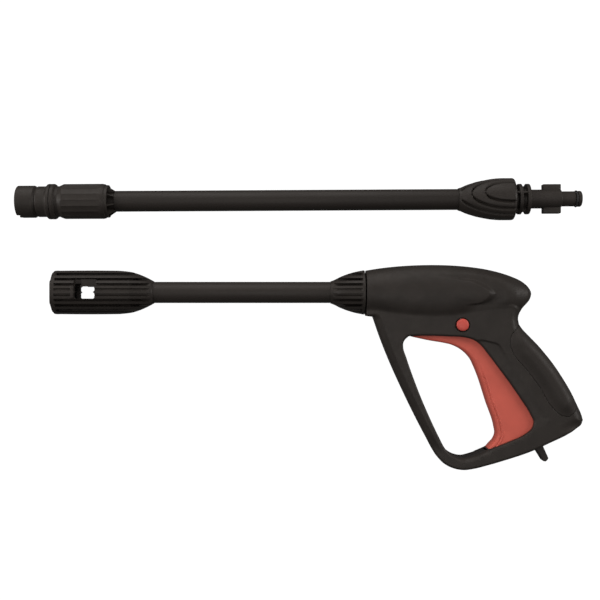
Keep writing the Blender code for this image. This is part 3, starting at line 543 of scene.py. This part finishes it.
def rounded_edge(distance, radius):
    """How far a rounded edge falls below the face beside it."""
    share = np.clip(1 - distance / radius, 0, 1)
    return radius * (1 - np.sqrt(np.maximum(1 - share * share, 0)))


def soft_max(first, second, width):
    """The higher of two levels, with a small fillet between them."""
    gap = np.clip(0.5 + 0.5 * (first - second) / width, 0, 1)
    return second * (1 - gap) + first * gap + width * gap * (1 - gap)


def body_height(x, y):
    """The left half's outside: rounded body, crescent relief, flat frame, chamfers and the recess."""
    top, bottom = np.interp(x, *top_line.T), np.interp(x, body_x, body_bottom)
    across = (2 * y - top - bottom) / (top - bottom)
    oval = np.interp(x, body_x, body_depth) * np.sqrt(np.maximum(1 - across * across, 0))
    to_back = np.clip(near_line(x, y, back_line) / 22.0, 0, 1)
    oval = np.minimum(oval, 20.5 * np.sqrt(1 - (1 - to_back) ** 2) + 40.0 * (x < 140.0))
    oval = oval - rounded_edge(x - FRONT_FACE, 0.9)

    to_outside = near_line(x, y, crescent_outside, closed=True)
    to_inside = near_line(x, y, crescent_inside, closed=True)
    in_outside, in_inside = within(x, y, crescent_outside), within(x, y, crescent_inside)
    facet = np.where(in_inside, 1.0, np.where(in_outside, to_outside / (to_outside + to_inside + 1e-9), 0.0))
    dish = (1 - facet) * np.exp(-(to_outside / 12.0) ** 2) * np.clip((oval - 13.5) / 4.0, 0, 1)
    fade = step_up(x, np.interp(y, (-8.0, 0.0), (143.0, 108.0)), np.interp(y, (-8.0, 0.0), (157.0, 152.0)))
    oval = oval + (0.3 * facet - 2.2 * dish) * fade

    to_seam = near_line(x, y, seam_line)
    free_edge = np.minimum(near_line(x, y, free_line), near_line(x, y, loop_edge, closed=True))
    border = np.minimum(free_edge, to_seam)
    flat = np.full(len(x), FRAME_HALF)
    to_strut = near_line(x, y, strut_line)
    chamfer = np.clip(5.6 - to_strut, 0, None) * 0.62
    flat = flat - chamfer * step_up(-y, 18.0, 24.0) * (1 - step_up(-y, 132.0, 146.0))
    to_bar = near_line(x, y, bar_line)
    flat = flat - np.clip(4.0 - to_bar, 0, None) * 0.7 * step_up(x, 136.0, 146.0) * (y < -130.0)

    in_recess = within(x, y, recess_line + [(150.0, -130.0), (150.0, -60.0)])
    slope = np.interp(y, (-66.0, -46.0), (9.0, 1.7))
    sunk = step_up(near_line(x, y, recess_line) / slope, 0.0, 1.0) * in_recess
    flat = flat - 1.25 * sunk
    cuff = step_up(y, -123.0, -111.0) * (x > 226.0) * (y < -90.0)
    neck = step_up(x, 178.0, 190.0) * (y > -38.0)
    rolled = flat * np.sqrt(np.maximum(1 - np.clip(1 - free_edge / 11.0, 0, 1) ** 2.2, 0))
    flat = flat - rounded_edge(free_edge, 2.2)
    flat = flat + (rolled - flat) * np.maximum(cuff, neck) - rounded_edge(to_seam, 0.45)
    flat = flat - 14.0 * step_up(y, -12.0 - 9.0 * step_up(x, 184.0, 200.0), -4.0)
    level = soft_max(oval, flat, 1.6 + 2.4 * step_up(x, 176.0, 196.0))

    rest = np.where(near_line(x, y, slot_line) < 0.02, SLOT_LEVEL, MATING_GAP)
    rest = np.where((to_seam < 0.02) & (free_edge > 2.0), np.minimum(SEAM_LEVEL, level - 2.5), rest)
    level = np.where(border < 0.02, rest, level)
    to_button = np.hypot(x - SAFETY_X, y - SAFETY_Y) - BUTTON_HOLE
    level = level - rounded_edge(to_button, 0.9)
    return np.where(to_button < 0.05, 10.4, level)


def right_height(x, y):
    """The right half's outside: the left half's, with counterbores for the screws."""
    level = body_height(x, y)
    for hole_x, hole_y in SCREW_PLACES:
        to_hole = np.hypot(x - hole_x, y - hole_y) - COUNTERBORE
        level = np.where(to_hole < 0.05, COUNTERBORE_LEVEL, level - rounded_edge(to_hole, 0.5))
    return level


def outward(bm):
    """Turns a raised sheet's faces up."""
    bm.normal_update()
    if sum(face.normal.z for face in bm.faces) < 0:
        bmesh.ops.reverse_faces(bm, faces=bm.faces)
    return bm


def walled(piece, thickness):
    """Gives an open skin its wall, on the inside."""
    wall = piece.modifiers.new("wall", "SOLIDIFY")
    wall.thickness = thickness * MM
    wall.offset = -1.0
    wall.use_even_offset = False
    return piece


EDGE_RINGS = (0.06, 0.3, 0.7)
button_ring = ring_of(SAFETY_X, SAFETY_Y, BUTTON_HOLE)
grid_x, grid_y = spread(59.0, 251.0, cell), spread(-156.0, 24.5, cell)
left = sheet_of([outer_edge, loop_edge, button_ring], EDGE_RINGS, grid_x, grid_y)
outward(raised(left, body_height))
left_shell = finished(left, "left_shell", gun_place, body_black, 40.0)
seated(walled(left_shell, WALL), "gun", "body_black", "left_body_shell")

screw_rings = [ring_of(x, y, COUNTERBORE, 24) for x, y in SCREW_PLACES]
right = sheet_of([outer_edge, loop_edge, button_ring, *screw_rings], EDGE_RINGS, grid_x, grid_y)
raised(right, right_height)
for x, y in SCREW_PLACES:
    rim = [edge for edge in right.edges if edge.is_boundary
           and all(abs(math.hypot(vert.co.x - x, vert.co.y - y) - COUNTERBORE) < 0.03 for vert in edge.verts)]
    bmesh.ops.edgeloop_fill(right, edges=rim)
outward(right)
bmesh.ops.scale(right, vec=(1.0, 1.0, -1.0), verts=right.verts)
bmesh.ops.reverse_faces(right, faces=right.faces)
right_shell = finished(right, "right_shell", gun_place, body_black, 40.0)
seated(walled(right_shell, WALL), "gun", "body_black", "right_body_shell")


# ---------------------------------------------------------------- back grip pad
# A softer black saddle behind the palm, clipped over the back of both shells. Its face swells above the
# shells, its edge sits in a thin seam, and its inside is hollowed where the pulled trigger comes.

pad_back = flowing([(194.3, -28.2), (196.4, -31.4), (203.4, -39.0), (210.5, -46.3), (217.6, -54.6),
                    (224.7, -63.7), (231.8, -74.3), (239.0, -86.3), (245.1, -98.4), (246.0, -100.2)],
                   closed=False)
PAD_GAP = 0.15
seam = [Vector(point) for point in seam_line]
pad_seam = []
for last, here, after in zip(seam, seam[1:], seam[2:]):
    along = (after - last).normalized()
    pad_seam.append((here.x + along.y * PAD_GAP, here.y - along.x * PAD_GAP))
pad_edge = pad_back + pad_seam


def pad_height(x, y):
    """A swollen face that rolls over to the back and drops into the seam."""
    to_seam = near_line(x, y, pad_seam)
    to_back = near_line(x, y, pad_back)
    face = FRAME_HALF + 3.2 * step_up(to_seam, -1.0, 11.0) - rounded_edge(to_seam, 0.45)
    roll = np.clip(1 - to_back / 11.0, 0, 1)
    level = face * np.sqrt(np.maximum(1 - roll ** 2.2, 0))
    return np.where(np.minimum(to_seam, to_back) < 0.02, 0.0, level)


pad = sheet_of([pad_edge], EDGE_RINGS, spread(184.0, 246.0, cell), spread(-109.0, -28.0, cell))
pad = closed_pair(raised(pad, pad_height))
lip = []
for side in (1.5, -1.5):
    for last, here, after in zip(seam[4:], seam[5:], seam[6:-4]):
        along = (after - last).normalized()
        lip.append((here.x - along.y * side, here.y + along.x * side))
half = len(lip) // 2
pad = carved(pad, prism(lip[:half] + lip[half:][::-1], -10.6, 10.6), "UNION")
TRIGGER_ROOM = ((214.0, -114.0), (219.6, -107.1), (221.5, -99.6), (219.6, -93.1), (209.0, -80.9),
                (197.3, -68.5), (184.8, -56.3), (175.2, -47.2))
pad = carved(pad, prism([*TRIGGER_ROOM, (150.0, -60.0), (180.0, -125.0)], -10.0, 10.0))
grip_black = moulded("soft_black_grip", (0.0225, 0.0190, 0.0170), 0.56, grain=0.9, mottle=0.10)
seated(finished(pad, "back_grip_saddle", gun_place, grip_black, 50.0), "gun", "grip_black", "back_grip_pad")


# ---------------------------------------------------------------- trigger
# The brick-red lever, a channel moulding open to the rear. It hinges on a steel pin at its front tip, and
# a fine rib runs beside its finger edge down to the hook that stops it in the frame.

FINGER_EDGE = ((99.1, -39.3), (113.1, -42.3), (127.2, -44.7), (134.3, -46.4), (144.4, -51.5), (151.6, -58.9),
               (155.2, -66.3), (166.0, -97.7), (173.1, -119.4), (173.9, -125.9), (172.1, -130.4),
               (168.0, -134.9), (165.9, -137.5), (167.0, -141.0), (170.0, -142.0))
HIDDEN_EDGE = ((184.0, -135.5), (199.0, -128.3), (205.5, -122.5), (208.3, -116.0), (207.5, -110.0),
               (199.0, -96.5), (189.5, -82.5), (179.0, -68.5), (171.0, -58.0), (163.0, -48.0), (156.0, -41.5),
               (150.0, -37.6), (144.9, -35.9), (136.0, -35.1), (128.0, -33.4), (119.0, -32.5), (116.0, -31.0),
               (113.5, -28.5), (110.0, -27.3), (106.5, -28.5), (105.0, -31.5), (101.0, -36.5))
TRIGGER_HALF = 9.0
trigger_edge = flowing([*FINGER_EDGE, *HIDDEN_EDGE])
finger_line = flowing(FINGER_EDGE, closed=False)


def trigger_height(x, y):
    """A flat side with a rounded finger edge and the fine rib beside it."""
    to_finger = near_line(x, y, finger_line)
    level = TRIGGER_HALF - rounded_edge(to_finger, 2.6)
    rib = np.exp(-((to_finger - 4.3) / 0.45) ** 2) * step_up(-y, 62.0, 76.0)
    groove = np.exp(-((to_finger - 3.3) / 0.5) ** 2) * step_up(-y, 56.0, 72.0)
    level = level + 0.55 * rib - 0.45 * groove
    border = near_line(x, y, trigger_edge, closed=True)
    level = np.where(border < 0.02, TRIGGER_HALF - 0.3, level)
    return np.where(to_finger < 0.02, 0.0, level)


trigger = sheet_of([trigger_edge], (0.06, 0.3, 0.6), spread(99.0, 209.0, 0.8 * cell),
                   spread(-142.0, -27.0, 0.8 * cell))
trigger = closed_pair(raised(trigger, trigger_height))
trigger_red = moulded("brick_red_moulding", (0.480, 0.093, 0.067), 0.48, grain=0.4, mottle=0.05)
trigger_piece = finished(trigger, "red_trigger_lever", gun_place, trigger_red, 40.0)
seated(walled(trigger_piece, 1.9), "trigger", "trigger_red", "trigger")


# ---------------------------------------------------------------- safety button
# A cross-bolt of the same red plastic, pushed through the frame above the trigger. Its left head is a low
# dome standing in a dark clearance ring.

button = turned(eased([(-12.1, 0.0), (-12.1, 5.3), (-10.1, 5.4), (-10.1, 1.5), (-6.2, 1.5), (-6.2, 5.4),
                       (6.2, 5.4), (6.2, 1.5), (10.6, 1.5), (10.6, 5.4), (14.7, 5.35), (15.6, 4.5),
                       (16.1, 2.6), (16.25, 0.0)], 0.7), 64)
stand = Matrix.Rotation(-math.pi / 2, 4, "Y")
button_place = gun_place @ Matrix.Translation((SAFETY_X, SAFETY_Y, 0.0)) @ stand
button_red = moulded("bright_red_button", (0.470, 0.075, 0.060), 0.40, grain=0.3, mottle=0.05)
button_piece = finished(button, "safety_cross_bolt", button_place, button_red)
seated(button_piece, "safety", "trigger_red", "safety_button")


# ---------------------------------------------------------------- lance front grip
# The fixed grip near the lance's nozzle end: a hollow black sleeve with shallow lengthwise flutes, open at
# the rear, where thin moulded webs hold it on the tube.

twist = next(joint for joint in frame["joints"] if joint["name"] == "nozzle_twist")
lance_axis = Vector(twist["axis"]).normalized()
TWIST_STATION = -235.0
lance_turn = Vector((1.0, 0.0, 0.0)).rotation_difference(lance_axis).to_matrix().to_4x4()
lance_place = (Matrix.Translation(Vector(twist["pos_m"])) @ lance_turn @ Matrix.Scale(MM, 4)
               @ Matrix.Translation((-TWIST_STATION, 0.0, 0.0)))
FLUTES = 18
grip_outline = eased([(-220.8, 15.75), (-218.4, 15.75), (-217.3, 15.1), (-216.6, 13.7), (-214.0, 13.7),
                      (-210.0, 15.55), (-175.6, 15.6), (-173.2, 15.1), (-172.9, 14.5), (-170.2, 14.4),
                      (-170.0, 13.3), (-188.0, 13.2), (-188.0, 9.4), (-197.0, 9.4), (-197.0, 6.5),
                      (-207.0, 6.5), (-207.0, 8.8), (-220.8, 8.8)], 0.35)


def finely(outline, step=1.5):
    """The outline with its long runs divided."""
    points = []
    for near, far in zip(outline, outline[1:] + outline[:1]):
        near, far = Vector(near), Vector(far)
        parts = max(1, int((far - near).length / step))
        points += [near + (far - near) * part / parts for part in range(parts)]
    return points


grip = turned(finely(grip_outline), 216)
for vert in grip.verts:
    out = math.hypot(vert.co.y, vert.co.z)
    share = float(step_up(vert.co.x, -211.5, -208.5) * (1 - step_up(vert.co.x, -178.5, -175.8)))
    if out > 14.5 and share > 0:
        turn = math.atan2(vert.co.y, vert.co.z)
        flute = abs(math.sin(FLUTES * turn / 2)) ** 0.7
        scale = (out - 0.42 * flute * share) / out
        vert.co.y *= scale
        vert.co.z *= scale
seated(finished(grip, "fluted_front_grip", lance_place, body_black), "lance", "body_black", "front_grip")
for number in range(8):
    web = prism([(-187.9, 7.6), (-187.9, 13.4), (-170.1, 13.4), (-164.3, 9.5), (-164.3, 7.6)], -0.45, 0.45)
    bmesh.ops.bevel(web, geom=web.edges[:], offset=0.15, segments=2, profile=0.5, affect="EDGES", material=-1)
    turn = Matrix.Rotation(number * math.pi / 4 + math.radians(67.0), 4, "X")
    seated(finished(web, f"grip_web_{number + 1}", lance_place @ turn, body_black), "lance", "body_black")


# ---------------------------------------------------------------- nozzle head
# The turning black head at the very front, which changes the jet: a rounded nose with a small notch in its
# lip, a narrow groove, and half of the bead that it shares with the grip.

head = turned(eased([(-251.6, 13.5), (-251.2, 14.1), (-250.4, 14.3), (-236.0, 14.3), (-234.6, 12.5),
                     (-233.2, 13.65), (-225.4, 13.65), (-224.4, 15.3), (-223.6, 15.75), (-221.2, 15.75),
                     (-221.2, 8.4), (-238.0, 8.4), (-238.0, 10.2), (-251.2, 10.3)], 0.6), 128)
head = carved(head, block_between((-254.0, -16.0, -4.0), (-247.2, -11.4, 6.6), 0.6))
head_piece = finished(head, "turning_nozzle_head", lance_place, body_black)
seated(head_piece, "nozzle_head", "body_black", "nozzle_head")


# ---------------------------------------------------------------- lance tube
# The lance's outer tube, the same drawn black plastic as the barrel, a little slimmer.

lance_tube = turned(eased([(-196.6, 7.5), (-165.0, 7.5), (-164.6, 9.25), (174.0, 9.25), (174.0, 7.0),
                           (-196.6, 7.0)]), 128)
lance_black = moulded("drawn_black_lance_tube", (0.0195, 0.0165, 0.0148), 0.50, grain=0.25, drawn=14.0)
lance_piece = finished(lance_tube, "lance_outer_tube", lance_place, lance_black)
seated(lance_piece, "lance", "tube_black", "lance_tube")


# ---------------------------------------------------------------- lance collar
# The black bud-shaped collar behind the lance tube, a push-on moulding. Nested arches like petals are
# pressed into it, each running back to the flat end.

ARCHES = ((162.9, 25.5), (151.5, 45.0), (141.0, 66.0))
ARCH_CENTRE = math.radians(18.0)
COLLAR_END = 188.0
collar_outline = finely(eased([(140.6, 9.9), (143.0, 10.6), (147.0, 12.5), (151.8, 14.2), (156.0, 15.6),
                               (160.6, 16.7), (165.0, 17.6), (169.6, 18.3), (174.0, 18.7), (178.0, 18.9),
                               (187.8, 18.9), (189.4, 18.1), (189.9, 16.6), (190.0, 9.6), (192.6, 9.6),
                               (192.6, 8.5), (175.0, 8.5),
                               (175.0, 9.4), (140.6, 9.4)], 0.4), 0.6)
collar = turned(collar_outline, 288)
collar_places = np.array([vert.co[:] for vert in collar.verts])
out = np.hypot(collar_places[:, 1], collar_places[:, 2])
turns = np.arctan2(collar_places[:, 1], collar_places[:, 2]) - ARCH_CENTRE
turns = np.abs((turns + np.pi / 2) % np.pi - np.pi / 2)
pressed = np.zeros(len(out))
for tip, wide in ARCHES:
    share = np.clip((collar_places[:, 0] - tip) / (COLLAR_END - tip), 0, 1)
    half_width = math.radians(wide) * np.sqrt(np.maximum(1 - (1 - share) ** 2.4, 0))
    beyond = (turns - half_width) * out
    line = np.exp(-(np.where(beyond < 1.1, 1.5, 0.62) * (beyond - 1.1)) ** 2)
    ahead = step_up(collar_places[:, 0], tip - 2.0, tip + 1.5)
    pressed += 2.8 * line * ahead
    pressed += 0.12 * step_up(beyond, 0.0, 1.2) * ahead
pressed *= step_up(collar_places[:, 0], 141.0, 147.0) * (1 - step_up(collar_places[:, 0], 187.6, 188.6))
pressed *= step_up(out, 9.8, 10.8)
for vert, depth, reach in zip(collar.verts, pressed, out):
    vert.co.y *= (reach - depth) / reach
    vert.co.z *= (reach - depth) / reach
seated(finished(collar, "petal_collar", lance_place, body_black, 50.0), "lance", "body_black", "lance_collar")


# ---------------------------------------------------------------- bayonet plug
# The lance's black plug: two flanges with a slotted groove, a neck, two locking lugs, and a slim tip that
# carries the O-ring and ends in a rounded nose.

plug = turned(eased([(185.0, 8.0), (193.2, 8.2), (193.3, 13.5), (196.3, 13.6), (196.4, 8.9), (200.2, 8.9),
                     (200.3, 13.6), (203.4, 13.5), (204.0, 8.4), (231.4, 8.4), (231.8, 6.7), (243.9, 6.7),
                     (243.9, 5.7), (246.5, 5.7), (246.5, 7.05), (249.0, 7.05), (249.8, 6.3), (249.8, 2.5),
                     (185.0, 2.5)], 0.45), 112)
for side in (1, -1):
    low, high = sorted((side * 7.0, side * 12.9))
    plug = carved(plug, block_between((215.4, low, -3.6), (231.3, high, 3.6), 0.7), "UNION")
for number in range(4):
    bridge = block_between((189.6, -0.9, 9.0), (201.2, 0.9, 12.9), 0.3)
    around = Matrix.Rotation(-math.radians(24.0) + number * math.pi / 2, 4, "X")
    bmesh.ops.transform(bridge, matrix=around, verts=bridge.verts)
    plug = carved(plug, bridge, "UNION")
seated(finished(plug, "bayonet_plug_body", lance_place, body_black), "lance", "body_black", "bayonet_plug")

CORD_RADIUS = 0.8
ring_outline = [(245.2 + CORD_RADIUS * math.cos(turn), 6.75 + CORD_RADIUS * math.sin(turn))
                for turn in np.linspace(math.pi, -math.pi, 17)[:-1]]
rubber = moulded("black_nitrile", (0.018, 0.018, 0.018), 0.55, grain=0.2)
ring_piece = finished(turned(ring_outline, 96), "tip_o_ring", lance_place, rubber)
seated(ring_piece, "lance", "seal_rubber", "plug_o_ring")


# ---------------------------------------------------------------- works inside
# The brass valve block and hose socket, steel pipes, pins, balls and springs, and rubber seals. They are
# mostly hidden and keep their plain shapes, with the finish of turned metal or moulded rubber. The valve
# spring, which shortens as the push rod lifts the ball, gets a mesh of its own.

def turned_metal(name, colour, roughness):
    """Machined metal: fine tool lines and a slightly uneven shine."""
    material = bpy.data.materials.new(name)
    material.use_nodes = True
    nodes, links = material.node_tree.nodes, material.node_tree.links
    shader = nodes["Principled BSDF"]
    shader.inputs["Metallic"].default_value = 1.0
    coords = nodes.new("ShaderNodeTexCoord")
    tool = nodes.new("ShaderNodeTexNoise")
    tool.inputs["Scale"].default_value = 900.0
    links.new(coords.outputs["Object"], tool.inputs["Vector"])
    tone = nodes.new("ShaderNodeValToRGB")
    tone.color_ramp.elements[0].color = (*[c * 0.85 for c in colour], 1)
    tone.color_ramp.elements[1].color = (*[min(1.0, c * 1.1) for c in colour], 1)
    links.new(tool.outputs["Fac"], tone.inputs["Fac"])
    links.new(tone.outputs["Color"], shader.inputs["Base Color"])
    gloss = nodes.new("ShaderNodeMapRange")
    gloss.inputs["To Min"].default_value = roughness - 0.08
    gloss.inputs["To Max"].default_value = roughness + 0.12
    links.new(tool.outputs["Fac"], gloss.inputs["Value"])
    links.new(gloss.outputs["Result"], shader.inputs["Roughness"])
    return material


finishes = {"body_black": body_black, "tube_black": tube_black, "seal_rubber": rubber,
            "trigger_red": trigger_red, "grip_black": grip_black,
            "brass": turned_metal("turned_brass", (0.62, 0.44, 0.20), 0.30),
            "steel": turned_metal("bright_steel", (0.55, 0.55, 0.56), 0.28)}
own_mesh(frame["nodes"]["valve_spring"])
slots = {part["node"]: part["material_slot"] for part in frame["record"]["subparts"]}
for name, node in frame["nodes"].items():
    if not node.hide_render:
        node.data.materials.clear()
        node.data.materials.append(finishes[slots[name]])


# ---------------------------------------------------------------- table, light and camera
# A plain white table, a bright even studio round it, and a camera straight above.

FLOOR_HALF = 15.0
sheet = bmesh.new()
bmesh.ops.create_grid(sheet, x_segments=1, y_segments=1, size=FLOOR_HALF)
paper = bpy.data.materials.new("white_paper")
paper.use_nodes = True
paper_shader = paper.node_tree.nodes["Principled BSDF"]
paper_shader.inputs["Base Color"].default_value = (0.05, 0.05, 0.05, 1)
paper_shader.inputs["Roughness"].default_value = 0.9
paper_shader.inputs["Emission Color"].default_value = (1, 1, 1, 1)
paper_shader.inputs["Emission Strength"].default_value = 1.0
table = finished(sheet, "white_table", Matrix.Identity(4), paper)
table.visible_diffuse = False
table.visible_glossy = False

world = bpy.data.worlds.new("studio")
world.use_nodes = True
world.node_tree.nodes["Background"].inputs["Color"].default_value = (1.0, 1.0, 1.0, 1)
world.node_tree.nodes["Background"].inputs["Strength"].default_value = 0.10
bpy.context.scene.world = world


def softbox(name, place, aim, size, power):
    """A square soft light aimed at a point."""
    lamp = bpy.data.lights.new(name, "AREA")
    lamp.size = size
    lamp.energy = power
    lamp.color = (1.0, 0.965, 0.93)
    obj = bpy.data.objects.new(name, lamp)
    obj.location = place
    obj.rotation_euler = (Vector(aim) - Vector(place)).to_track_quat("-Z", "Y").to_euler()
    bpy.context.scene.collection.objects.link(obj)


softbox("key_light", (-0.2, 1.5, 0.6), (0.0, 0.0, 0.0), 1.5, 20.0)
softbox("top_light", (0.0, -0.2, 1.7), (0.0, 0.0, 0.0), 0.9, 7.5)
softbox("left_light", (-1.4, 0.3, 0.7), (0.0, 0.0, 0.0), 0.6, 15.0)
softbox("right_light", (1.4, 0.4, 0.6), (0.0, 0.0, 0.0), 0.6, 13.0)

camera_data = bpy.data.cameras.new("camera")
camera_data.lens = 57.0
camera_data.sensor_width = 36.0
camera_data.clip_start = 0.01
camera = bpy.data.objects.new("camera", camera_data)
camera.location = (-0.0003, 0.0203, 0.8643)
bpy.context.scene.collection.objects.link(camera)
bpy.context.scene.camera = camera
bpy.context.scene.view_settings.view_transform = "Standard"
